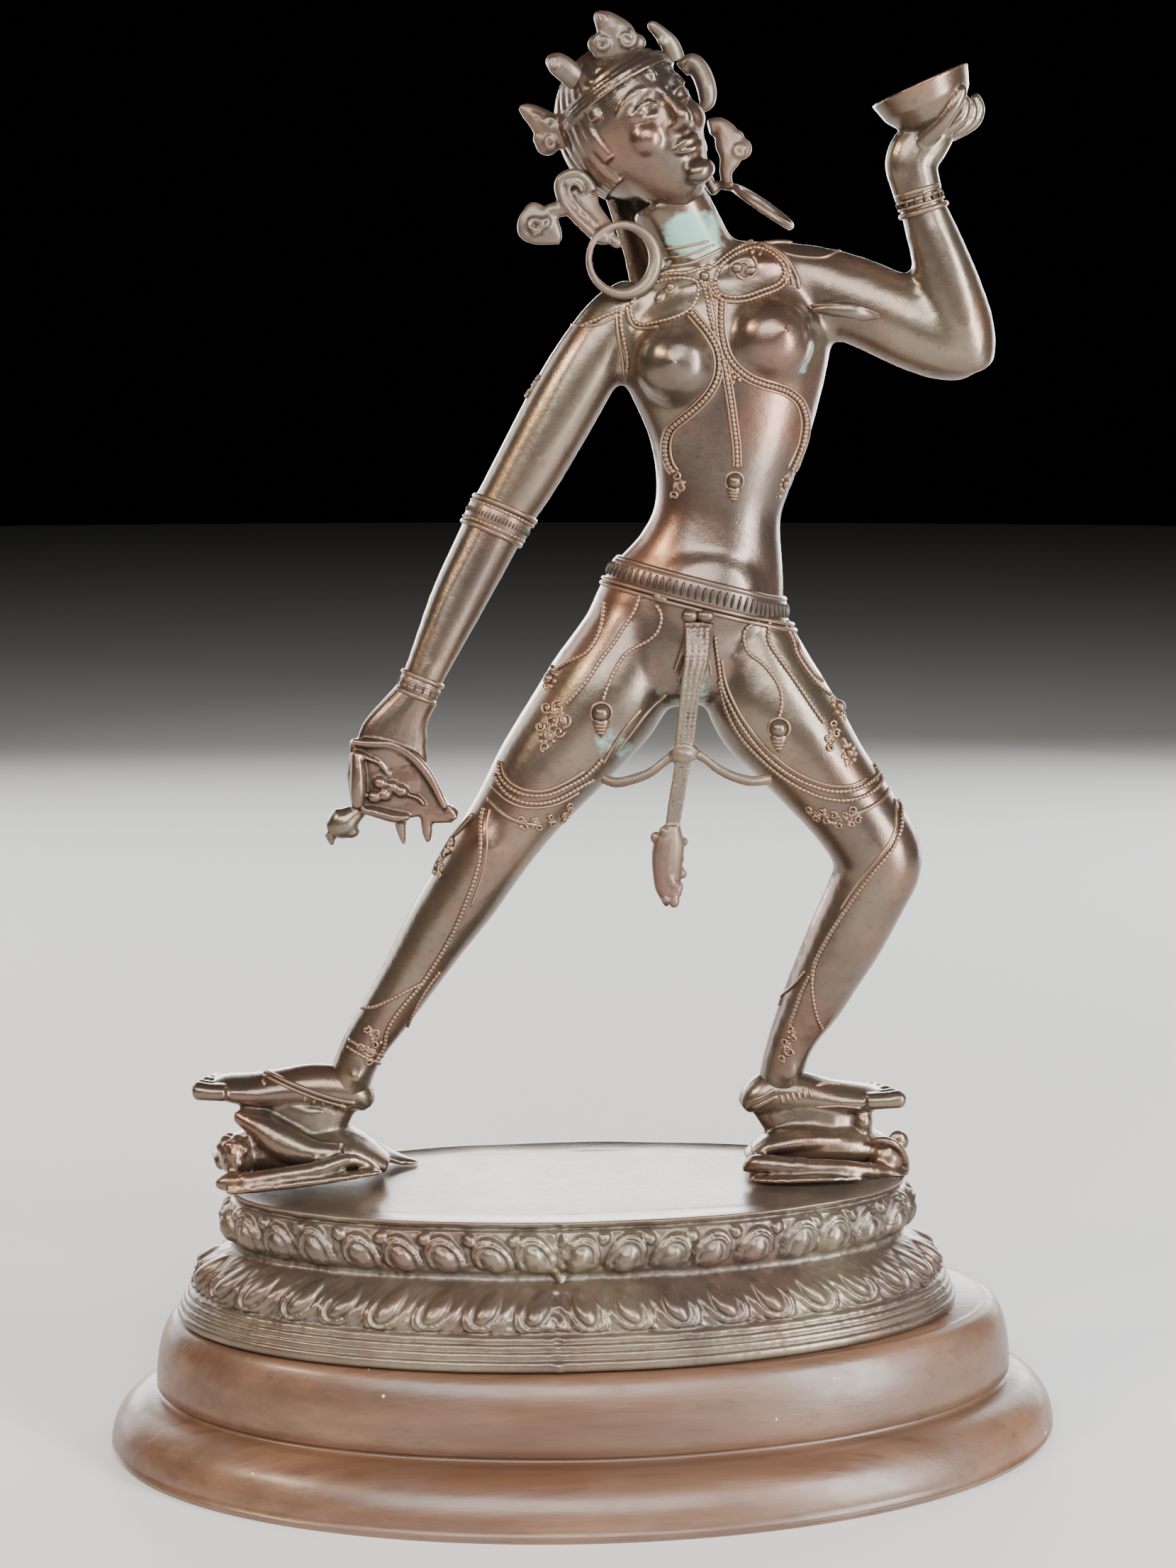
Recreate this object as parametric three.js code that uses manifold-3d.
// A cast bronze figure of a striding sky-goddess with a chopper and a skull cup. Under each foot lies a
// small trampled figure. It stands on an oval bronze double lotus, and that on a two-tier oval wooden plinth.
// Millimetres, +Z up. The figure looks along -Y, her right side is at -X, and the origin is the middle of
// the plinth's underside.
import * as THREE from 'three';
import { mergeVertices } from 'three/addons/utils/BufferGeometryUtils.js';
import Module from 'manifold-3d';

const wasm = await Module();
wasm.setup();

// Driving dimensions of the plinth: an oval whose outline steps in tier by tier
const PLINTH_HALF_X = 139;
const PLINTH_HALF_Y = 78;
const PLINTH_HEIGHT = 39.9;
const PLINTH_FOOT = 2;
const TIER_SPLIT = 16.8;
const LOWER_TIER_INSET = 13.3;
const UPPER_TIER_INSET = 7;
const CREASE_DEPTH = 1.6;
const CREASE_HEIGHT = 0.9;
const ROUND_STEPS = 3;
const OVAL_SIDES = 56;

// Driving dimensions of the lotus base
const SEAT_GAP = 0.3;
const LOTUS_HALF_X = 113.5;
const LOTUS_HALF_Y = 54;
const LOTUS_TOP = 77.6;
const LOTUS_CENTRE = [-5.2, -4.5];
const PETALS_ROUND = 34;
const SIDES_PER_PETAL = 2;
const PETAL_BULGE = 2.6;

// Joints of the figure, her right side at -X
const HIP_R = [15, 4, 238];
const KNEE_R = [-28, 3, 173];
const ANKLE_R = [-65, 6, 115];
const HIP_L = [44, 3, 236];
const ANKLE_L = [59, 5, 113];
const SHOULDER_R = [4, 3, 319];
const ELBOW_R = [-24, 5, 269];
const WRIST_R = [-46, 0, 224];
const SHOULDER_L = [66, 3, 331];
const ELBOW_L = [107, -2, 311];
const WRIST_L = [91, -6, 357];

// The head: a skull that leans to her right, turned to her left and looking up
const HEAD_CENTRE = [13.5, 1, 374];
const HEAD_HALF = [17.2, 20.5, 25];
const HEAD_LEAN = -28;
const HEAD_TURN = 30;
const HEAD_RAISE = -8;
const BAND_LIFT = 11;

// Jewellery and what the hands hold
const HOOP_RADIUS = 9.2;
const HOOP_WIRE = 1.5;
const CUP_RADIUS = 14;
const CUP_DEPTH = 12.5;
const CUP_WALL = 1.6;
const CUP_CENTRE = [90.7, -7, 386.2];
const CUP_TILT = -24;
const CUP_STEPS = 5;
const CUP_SIDES = 14;
const BLADE_THICKNESS = 5;
const BLADE_BACK = 2;
const BLADE_CURVE_STEPS = 4;
const APRON_HALF_WIDTH = 2.4;
const TRAMPLED_BOTTOM = LOTUS_TOP + SEAT_GAP;
const CUTTER = [300, 120, 100];

const BRONZE = { color: 0x2e211b, roughness: 0.32, metalness: 0.9 };
const LOTUS_BRONZE = { color: 0x4a3b31, roughness: 0.42, metalness: 0.85 };
const WOOD = { color: 0x3b251a, roughness: 0.45, metalness: 0 };
const FRONT = new THREE.Vector3(0, -1, 0);

// A closed geometry becomes a solid once its shared vertices are merged
function solid(geometry) {
  const bare = geometry.clone();
  bare.deleteAttribute('normal');
  bare.deleteAttribute('uv');
  const merged = mergeVertices(bare, 1e-4);
  return new wasm.Manifold(new wasm.Mesh({
    numProp: 3,
    vertProperties: new Float32Array(merged.attributes.position.array),
    triVerts: new Uint32Array(merged.index.array),
  }));
}

function join(solids) {
  return solids.reduce((whole, piece) => whole.add(piece));
}

function meshOf(whole, name, finish) {
  const { vertProperties, triVerts } = whole.getMesh();
  const geometry = new THREE.BufferGeometry();
  geometry.setAttribute('position', new THREE.BufferAttribute(new Float32Array(vertProperties), 3));
  geometry.setIndex(new THREE.BufferAttribute(new Uint32Array(triVerts), 1));
  geometry.computeVertexNormals();
  const mesh = new THREE.Mesh(geometry, new THREE.MeshStandardMaterial(finish));
  mesh.name = name;
  return mesh;
}

// A cylinder's rings moved into place: place(t, x, z) gives the spot of the unit circle's point (x, z) on
// the ring at t, and the cylinder's own caps close both ends
function reshaped(sides, rings, place) {
  const geometry = new THREE.CylinderGeometry(1, 1, 1, sides, rings - 1);
  const spots = geometry.attributes.position;
  for (let i = 0; i < spots.count; i += 1) {
    const spot = place(spots.getY(i) + 0.5, spots.getX(i), spots.getZ(i));
    spots.setXYZ(i, spot.x, spot.y, spot.z);
  }
  return geometry;
}

// A limb: an oval section that follows a smooth path. Each station is a point, its half width across the
// limb and its half depth from front to back
function limb(stations, sides = 10) {
  const path = new THREE.CatmullRomCurve3(stations.map(([x, y, z]) => new THREE.Vector3(x, y, z)));
  const girth = new THREE.CatmullRomCurve3(stations.map((row) => new THREE.Vector3(row[3], row[4], 0)));
  return solid(reshaped(sides, stations.length, (t, x, z) => {
    const along = path.getTangent(t);
    const across = new THREE.Vector3().crossVectors(along, FRONT).normalize();
    const outward = new THREE.Vector3().crossVectors(across, along);
    const half = girth.getPoint(t);
    return path.getPoint(t).addScaledVector(across, x * half.x).addScaledVector(outward, z * half.y);
  }));
}

function ball([x, y, z], [halfX, halfY, halfZ], sides = 10) {
  const geometry = new THREE.SphereGeometry(1, sides, Math.round(sides * 0.66));
  return solid(geometry.scale(halfX, halfY, halfZ).translate(x, y, z));
}

// An oval body whose outline follows inset and height rows, all round a centre
function oval(halfX, halfY, [cx, cy], sides, rows, ripple = () => 0) {
  return solid(reshaped(sides, rows.length, (t, x, z) => {
    const row = Math.round(t * (rows.length - 1));
    const [inset, height] = rows[row];
    const angle = Math.atan2(z, x);
    const swell = ripple(row, angle);
    const reach = Math.hypot(x, z);
    const outX = (halfX - inset + swell) * x;
    const outY = (halfY - inset + swell) * -z;
    return new THREE.Vector3(cx + (reach > 0.5 ? outX : 0), cy + (reach > 0.5 ? outY : 0), height);
  }));
}

// A quarter round that rises from one height to the next while it steps in
function quarterRound(from, to, low, high) {
  return Array.from({ length: ROUND_STEPS + 1 }, (_, i) => {
    const turn = (i / ROUND_STEPS) * (Math.PI / 2);
    return [from + (to - from) * (1 - Math.cos(turn)), low + (high - low) * Math.sin(turn)];
  });
}

function plinth() {
  const upperInset = LOWER_TIER_INSET + UPPER_TIER_INSET;
  return oval(PLINTH_HALF_X, PLINTH_HALF_Y, [0, 0], OVAL_SIDES, [
    [1, 0],
    ...quarterRound(0, LOWER_TIER_INSET, PLINTH_FOOT, TIER_SPLIT),
    [LOWER_TIER_INSET + CREASE_DEPTH, TIER_SPLIT + CREASE_HEIGHT],
    ...quarterRound(LOWER_TIER_INSET, upperInset, TIER_SPLIT + 2 * CREASE_HEIGHT, PLINTH_HEIGHT),
  ]);
}

// Two rows of petals back to back between a stepped foot and a plain collar. The rows marked as petals
// swell at each petal's middle
function lotusBase() {
  const foot = PLINTH_HEIGHT + SEAT_GAP;
  const rows = [
    [1.2, foot, 0],
    [0, foot + 1.5, 0],
    [1, foot + 6.5, 0],
    [3.2, foot + 9.5, 0],
    [5, foot + 12, 0.6],
    [4.6, foot + 15.5, 1],
    [8.2, foot + 19, 0.7],
    [15.6, foot + 21.2, 0],
    [15.6, foot + 22.8, 0],
    [13.8, foot + 25, 0.7],
    [13.2, foot + 29, 1],
    [14.8, foot + 33.5, 0.5],
    [15.8, foot + 35, 0],
    [15.6, LOTUS_TOP, 0],
  ];
  const ripple = (row, angle) => {
    const petal = Math.abs(Math.sin((angle * PETALS_ROUND) / 2));
    return rows[row][2] * PETAL_BULGE * (Math.sqrt(petal) - 0.6);
  };
  return oval(LOTUS_HALF_X, LOTUS_HALF_Y, LOTUS_CENTRE, PETALS_ROUND * SIDES_PER_PETAL, rows, ripple);
}

// Body and neck, from the crotch up
function torso() {
  return join([
    limb([
      [27.5, 4, 217, 10, 12],
      [27, 4, 229, 27.5, 18],
      [30, 3.5, 241, 27.5, 18],
      [34, 3, 253, 23.5, 16],
      [37.3, 2, 271, 18, 13.6],
      [39.2, 2, 284, 20.8, 14.8],
      [40, 2, 297, 25, 16],
      [38.5, 2.5, 314, 30.5, 17],
      [36, 3, 328, 30, 14.5],
      [33.5, 3, 336, 22, 10.5],
      [31.5, 3, 340, 12, 9],
    ], 14),
    limb([
      [33, 4, 333, 13.5, 11],
      [30, 3, 343, 11, 10.6],
      [24, 3, 353, 11, 11.5],
    ]),
    ball([24.2, -9.5, 311], [11.4, 10.5, 11.2]),
    ball([50, -9.5, 317.5], [11.6, 10.5, 11.6]),
  ]);
}

function legs() {
  return join([
    limb([
      [...HIP_R, 14, 14.5],
      [7, 3.5, 221.5, 17.4, 17],
      [-12, 3, 196, 14.9, 15],
      [...KNEE_R, 11.6, 12.4],
      [-37, 4, 159, 10.8, 11.5],
      [-50, 5, 138, 8.7, 9.6],
      [...ANKLE_R, 6.7, 7.2],
      [-68, 6, 103, 6.2, 6.4],
    ]),
    limb([
      [...HIP_L, 14, 14.5],
      [51, 0.5, 216, 17, 17],
      [66, -4, 198, 14.5, 14.6],
      [78, -6, 183, 12.7, 12.7],
      [84, -6.5, 171, 12.9, 12.2],
      [75, -2, 148, 11.1, 11.5],
      [66, 2, 128, 9.2, 10],
      [...ANKLE_L, 6.7, 7.3],
      [57, 6, 101, 6.8, 6.8],
    ]),
    limb([
      [-64.5, 6, 98, 2.5, 4],
      [-70, 6, 101.5, 5.5, 6.6],
      [-79, 6, 103.6, 7.2, 7],
      [-96, 6, 103.5, 5.6, 8.4],
      [-106, 6, 104.5, 3.8, 8.6],
      [-113.5, 6, 105.8, 2.6, 6.8],
    ], 10),
    limb([
      [47.6, 6, 95.4, 2.2, 4],
      [52.5, 6, 98.5, 5.4, 6.8],
      [60, 6, 99.5, 7.2, 7.1],
      [76, 6, 97.5, 4.9, 8.6],
      [85, 6, 97.6, 3.6, 8.6],
      [93.3, 6, 98.4, 2.4, 6.6],
    ], 10),
  ]);
}

function arms() {
  return join([
    limb([
      [13, 3, 327, 7, 7],
      [...SHOULDER_R, 8.9, 8.4],
      [-5, 4, 301, 10.4, 10],
      [-16.5, 4.5, 281.5, 9.8, 9.4],
      [...ELBOW_R, 9.2, 9.2],
      [-35.5, 3.5, 247, 8, 7.8],
      [...WRIST_R, 5.9, 5.3],
      [-50.5, -0.5, 213, 6, 4.8],
    ]),
    limb([
      [53, 3, 337, 8.6, 7.5],
      [...SHOULDER_L, 12, 9],
      [78, 1, 327.5, 12, 10],
      [93, -1, 320.5, 12, 10],
      [103, -2, 314.5, 10.4, 9],
      [111, -2.5, 310, 6, 6],
    ]),
    limb([
      [...ELBOW_L, 7.6, 7.6],
      [103.8, -3, 322, 9.9, 9.2],
      [98, -5, 339.5, 8.1, 7.6],
      [...WRIST_L, 6.4, 5.6],
      [89, -7, 363, 6, 4.8],
    ]),
  ]);
}

// A hand held downward around the chopper's grip, and the chopper: a crescent blade with a curved back
// ridge, a round pommel and two short points below
function rightHandAndChopper() {
  const blade = new THREE.Shape();
  blade.moveTo(-67, 206.5);
  blade.quadraticCurveTo(-47, 202, -37, 184.5);
  blade.lineTo(-41, 181.5);
  blade.quadraticCurveTo(-52, 183, -62, 182.5);
  blade.quadraticCurveTo(-70, 192, -67, 206.5);
  const upright = new THREE.ExtrudeGeometry(blade, {
    depth: BLADE_THICKNESS, bevelEnabled: false, curveSegments: BLADE_CURVE_STEPS,
  });
  upright.applyMatrix4(new THREE.Matrix4().set(
    1, 0, 0, 0,
    0, 0, -1, BLADE_BACK,
    0, 1, 0, 0,
    0, 0, 0, 1,
  ));
  return join([
    solid(upright),
    limb([
      [-49.5, -0.5, 216, 5.8, 4.8],
      [-52.5, -0.7, 209, 8.8, 4.6],
      [-54.5, -0.8, 203, 12.4, 4.2],
      [-53, -0.8, 196, 12, 3.6],
    ]),
    limb([
      [-66, -1.5, 205, 2.2, 3],
      [-66.5, -2, 195, 3.6, 4.2],
      [-64, -1.5, 185, 3.2, 4],
    ], 6),
    ball([-69, -1, 181.5], [5, 4.2, 3.8], 8),
    limb([[-71, -1, 181, 1.6, 1.6], [-72.5, -1, 176.5, 0.7, 0.7]], 6),
    limb([[-54, -1, 184, 1.9, 1.9], [-53.2, -1, 176.4, 0.8, 0.8]], 6),
    limb([[-46.5, -1, 184, 1.8, 1.8], [-46.1, -1, 177.3, 0.9, 0.9]], 6),
    ball([-39.5, -1, 183.5], [2.8, 2.8, 2.6], 6),
  ]);
}

// A hand that carries the skull cup from below, its fingers folded up behind the cup. The cup is turned
// with a true wall and open above
function leftHandAndCup() {
  const inner = CUP_RADIUS - CUP_WALL;
  const profile = [];
  const arc = (radius, depth, step) => {
    const turn = (step / CUP_STEPS) * (Math.PI / 2);
    return new THREE.Vector2(radius * Math.sin(turn), -depth * Math.cos(turn));
  };
  for (let i = 0; i <= CUP_STEPS; i += 1) profile.push(arc(CUP_RADIUS, CUP_DEPTH, i));
  for (let i = CUP_STEPS; i >= 0; i -= 1) profile.push(arc(inner, CUP_DEPTH - CUP_WALL, i));
  profile[0].x = 0;
  profile[profile.length - 1].x = 0;
  const cup = new THREE.LatheGeometry(profile, CUP_SIDES);
  cup.rotateX(Math.PI / 2);
  cup.rotateY(THREE.MathUtils.degToRad(CUP_TILT));
  cup.translate(...CUP_CENTRE);
  return join([
    solid(cup),
    limb([
      [90.3, -6.8, 359, 6, 5],
      [86.5, -6.5, 366, 6.4, 4.6],
      [92, -6, 372.5, 5.4, 5],
      [98, -5, 376, 4, 5],
    ]),
    limb([
      [99, -5, 373, 3.4, 7.5],
      [104, -5, 376.5, 2.2, 7.5],
      [107, -5, 383.5, 1.6, 6.8],
    ]),
  ]);
}

// The head in its own axes, then leaned, turned and raised: skull, jaw, a small plain nose, hair, ears
// and the crown band
function head() {
  const ear = (hand) => limb([
    [hand * 15.5, 6, 0, 3, 3.4],
    [hand * 19, 7.5, -6, 3, 4.4],
    [hand * 20, 8, -13, 2.4, 3.6],
    [hand * 19, 6.5, -23.5, 2, 2.2],
  ], 8);
  const pieces = [
    ball([0, 0, 0], HEAD_HALF, 12),
    ball([0, -5, -14], [12.5, 13.5, 12.5], 10),
    ball([0, 1.5, 2], [HEAD_HALF[0] + 0.8, HEAD_HALF[1] + 0.2, HEAD_HALF[2] - 3.4], 12),
    limb([[0, -19.5, 4, 1.6, 2.4], [0, -21.5, -5, 2.7, 3.2], [0, -18, -8, 2, 2]], 6),
    limb([[0, 0.5, BAND_LIFT - 1.8, 17.6, 20.6], [0, 0.5, BAND_LIFT + 2, 17, 20]], 12),
    ear(-1),
    ear(1),
  ];
  const stance = new THREE.Matrix4().makeRotationY(THREE.MathUtils.degToRad(HEAD_LEAN));
  stance.multiply(new THREE.Matrix4().makeRotationZ(THREE.MathUtils.degToRad(HEAD_TURN)));
  stance.multiply(new THREE.Matrix4().makeRotationX(THREE.MathUtils.degToRad(HEAD_RAISE)));
  stance.setPosition(...HEAD_CENTRE);
  return join(pieces).transform(stance.elements);
}

// The five finials that stand up around the crown band, each a leaf from root to tip
function crownFinials() {
  return join([
    limb([
      [8.5, -6, 387.5, 4.4, 2.4],
      [7.8, -9, 395, 7.2, 2.4],
      [4.6, -9.5, 399.5, 3.4, 2],
      [3, -9.5, 404.2, 1.4, 1.2],
    ], 8),
    limb([[21, -4, 388, 3.2, 2.2], [21.6, -6, 394.5, 2.4, 2], [17.1, -7, 402.2, 1.2, 1.2]], 6),
    limb([[1, -5, 380, 4, 2.4], [-5.6, -7, 386.4, 3.6, 2.2], [-10.6, -7, 391.6, 2.4, 1.6]], 8),
    limb([
      [-2, 2, 371.5, 5, 2.6],
      [-9, 3, 372.5, 5.6, 2.4],
      [-14, 3, 377, 3.2, 2],
      [-19, 3, 379.6, 1.2, 1.2],
    ], 8),
    limb([
      [19, 3, 388, 2.4, 3],
      [27.6, 1.5, 390, 2.8, 3.4],
      [31.8, 0.5, 383.6, 3, 3.4],
      [33, 0, 378.5, 1.2, 2],
    ], 6),
  ]);
}

// Ear hoops, the fan ornaments beside the ears, and the long hair down the back
function hoopsFansAndHair() {
  const hoop = (centre, turnX, turnZ) => {
    const ring = new THREE.TorusGeometry(HOOP_RADIUS, HOOP_WIRE, 5, 18);
    ring.rotateX(Math.PI / 2).rotateZ(THREE.MathUtils.degToRad(turnZ));
    ring.rotateY(THREE.MathUtils.degToRad(turnX)).translate(...centre);
    return solid(ring);
  };
  return join([
    hoop([9.8, -6.6, 339.6], 0, 6),
    hoop([50.6, 12, 354.8], -57, 78),
    limb([[36.5, 14, 362.5, 2.4, 2], [43.6, 12.4, 359.6, 2, 1.8]], 6),
    limb([[2, -3, 355, 2.4, 2], [-3, -3, 353.6, 2, 2], [-9, -3, 352.4, 1.8, 1.6]], 6),
    limb([[-7, -3, 352.6, 2.4, 1.8], [-12.5, -3, 350.5, 4.4, 1.8], [-13.5, -3, 345.5, 5.2, 1.4]], 6),
    limb([[30, 15, 370, 2.4, 2], [38, 12.5, 371.5, 4.4, 2], [44.6, 11, 369, 4.2, 1.4]], 6),
    limb([
      [15, 12, 368, 12, 6],
      [25, 18, 346, 13, 5],
      [33, 18.5, 325, 15, 4.6],
      [38, 15.5, 300, 13, 4],
      [38, 13.5, 282, 5, 2.5],
    ]),
  ]);
}

// Belt, bracelets and anklets: short bands a little fuller than what they clasp
function bands() {
  return join([
    limb([[32.2, 3, 243.6, 27, 17.9], [33.4, 3, 250.4, 25.2, 17]], 14),
    limb([[-24.4, 5, 268.6, 10.2, 10.2], [-28, 5, 262.4, 9.8, 9.8]]),
    limb([[-46.6, 0.2, 222.2, 6.8, 6.4], [-48.8, 0, 218, 6.8, 6.2]]),
    limb([[92.2, -6.3, 353.5, 7.6, 6.8], [90.9, -6.6, 357.4, 7.6, 6.6]]),
  ]);
}

// The beaded apron: a strip that hangs free between the legs and ends in a tassel, with a swag to each thigh
function apron() {
  return join([
    limb([
      [26.5, -12.5, 243, APRON_HALF_WIDTH + 1, 2.4],
      [27.5, -14.5, 222, APRON_HALF_WIDTH, 2],
      [27.6, -12.5, 204, APRON_HALF_WIDTH, 1.8],
      [24, -11, 184, APRON_HALF_WIDTH, 1.8],
    ]),
    limb([
      [24, -11, 186, 2.6, 2],
      [22.5, -11, 177, 4.4, 2.6],
      [22, -11, 167, 4.4, 2.6],
      [21.8, -11, 159.5, 1, 1],
    ]),
    limb([
      [27, -12, 205, 1.4, 1.4],
      [17.5, -11, 197.5, 1.4, 1.4],
      [3, -7, 196, 1.4, 1.4],
      [-2, -4, 197, 1.4, 1.4],
    ], 6),
    limb([
      [27, -12, 205, 1.4, 1.4],
      [39, -12, 196.5, 1.4, 1.4],
      [53, -9, 195.5, 1.4, 1.4],
      [58, -7, 197, 1.4, 1.4],
    ], 6),
  ]);
}

// The two trampled figures: each a lying body with a raised back that carries the sole, a head and an arm
// laid in front. They are cut off flat where they sit on the lotus
function trampled() {
  const pieces = join([
    limb([
      [-106, 6, 83, 3, 5],
      [-98, 6, 84.5, 6, 10],
      [-84, 6, 84.5, 6.6, 12],
      [-69, 6, 84, 6, 10.5],
      [-58, 6, 81, 3, 6],
    ]),
    limb([[-83, 6, 84, 15, 9], [-83, 6, 91, 13.4, 8.4], [-81.5, 6, 99.5, 14.5, 7.6]]),
    ball([-100.5, -1, 85.5], [5.8, 6, 6], 8),
    limb([
      [-94, -4, 84, 2.6, 2.6],
      [-76, -7, 82, 2.4, 2.4],
      [-60, -7, 80.5, 2, 2.4],
      [-50, -4, 79.6, 1.4, 2.2],
    ]),
    limb([
      [49.5, 5, 80, 2.4, 6],
      [56, 5, 82.5, 5, 10],
      [68, 5, 84, 6, 12],
      [80, 5, 83.5, 5.4, 10],
      [89, 4, 81.5, 3.4, 6],
    ]),
    limb([[68, 5.5, 83, 16, 9], [68, 5.5, 89, 15.4, 8.2], [67, 6, 95, 17, 7.4]]),
    ball([89, 0, 84], [6, 6, 6.2], 8),
    limb([
      [51, -6, 82.5, 2.4, 2.4],
      [68, -8.5, 81.6, 2.3, 2.3],
      [87, -5, 80.6, 2, 2.2],
      [95, -3, 79.4, 1.2, 2],
    ]),
  ]);
  const flat = new THREE.BoxGeometry(...CUTTER).translate(0, 0, TRAMPLED_BOTTOM - CUTTER[2] / 2);
  return pieces.subtract(solid(flat));
}

function figure() {
  return join([
    torso(), legs(), arms(), rightHandAndChopper(), leftHandAndCup(), head(), crownFinials(),
    hoopsFansAndHair(), bands(), apron(), trampled(),
  ]);
}

const statue = new THREE.Group();
statue.add(meshOf(plinth(), 'wooden_plinth', WOOD));
statue.add(meshOf(lotusBase(), 'lotus_base', LOTUS_BRONZE));
statue.add(meshOf(figure(), 'vajrayogini_figure', BRONZE));

export default statue;
